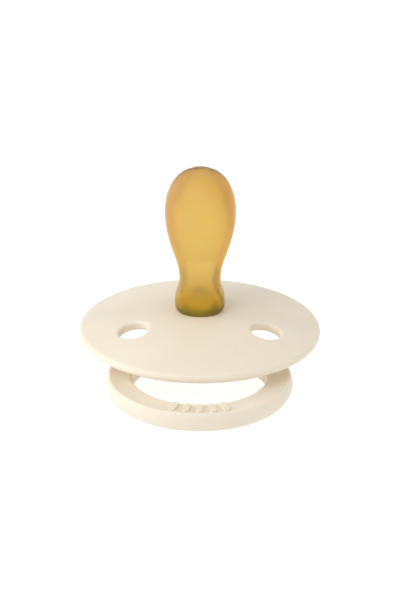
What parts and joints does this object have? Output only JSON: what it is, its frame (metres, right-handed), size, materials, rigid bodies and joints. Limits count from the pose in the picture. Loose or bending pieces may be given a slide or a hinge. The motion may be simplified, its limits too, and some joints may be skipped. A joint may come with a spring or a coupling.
{
  "type": "pacifier",
  "caption": "Baby pacifier: domed round mouth shield with vent holes, hollow rubber nipple clamped by a rear plug and knob, and an open ring handle that hinges on the knob.",
  "frame": {"origin": "centre of the knob's flat back face, on the nipple's axis; the pacifier rests on this face", "axes": "+Z along the nipple's axis, out of the shield towards the tip; the ring handle lies folded towards -Y and hinges about an axis along X"},
  "size_m": [0.043, 0.0496, 0.0377],
  "materials": {
    "shield_plastic": "ivory polypropylene, satin",
    "latex": "translucent amber natural rubber latex, smooth",
    "plug_plastic": "uncoloured polypropylene, plain",
    "knob_plastic": "ivory polypropylene, satin",
    "ring_plastic": "ivory polypropylene, satin"
  },
  "bodies": {
    "mouthpiece": {"shield": "shield_plastic", "nipple": "latex", "nipple_plug": "plug_plastic", "knob": "knob_plastic"},
    "handle": {"ring": "ring_plastic"}
  },
  "joints": [
    {"name": "ring_hinge", "type": "hinge", "parent": "mouthpiece", "child": "handle", "pos_m": [0, 0, 0.00185], "axis": [1, 0, 0], "range_deg": [-6, 186]}
  ]
}
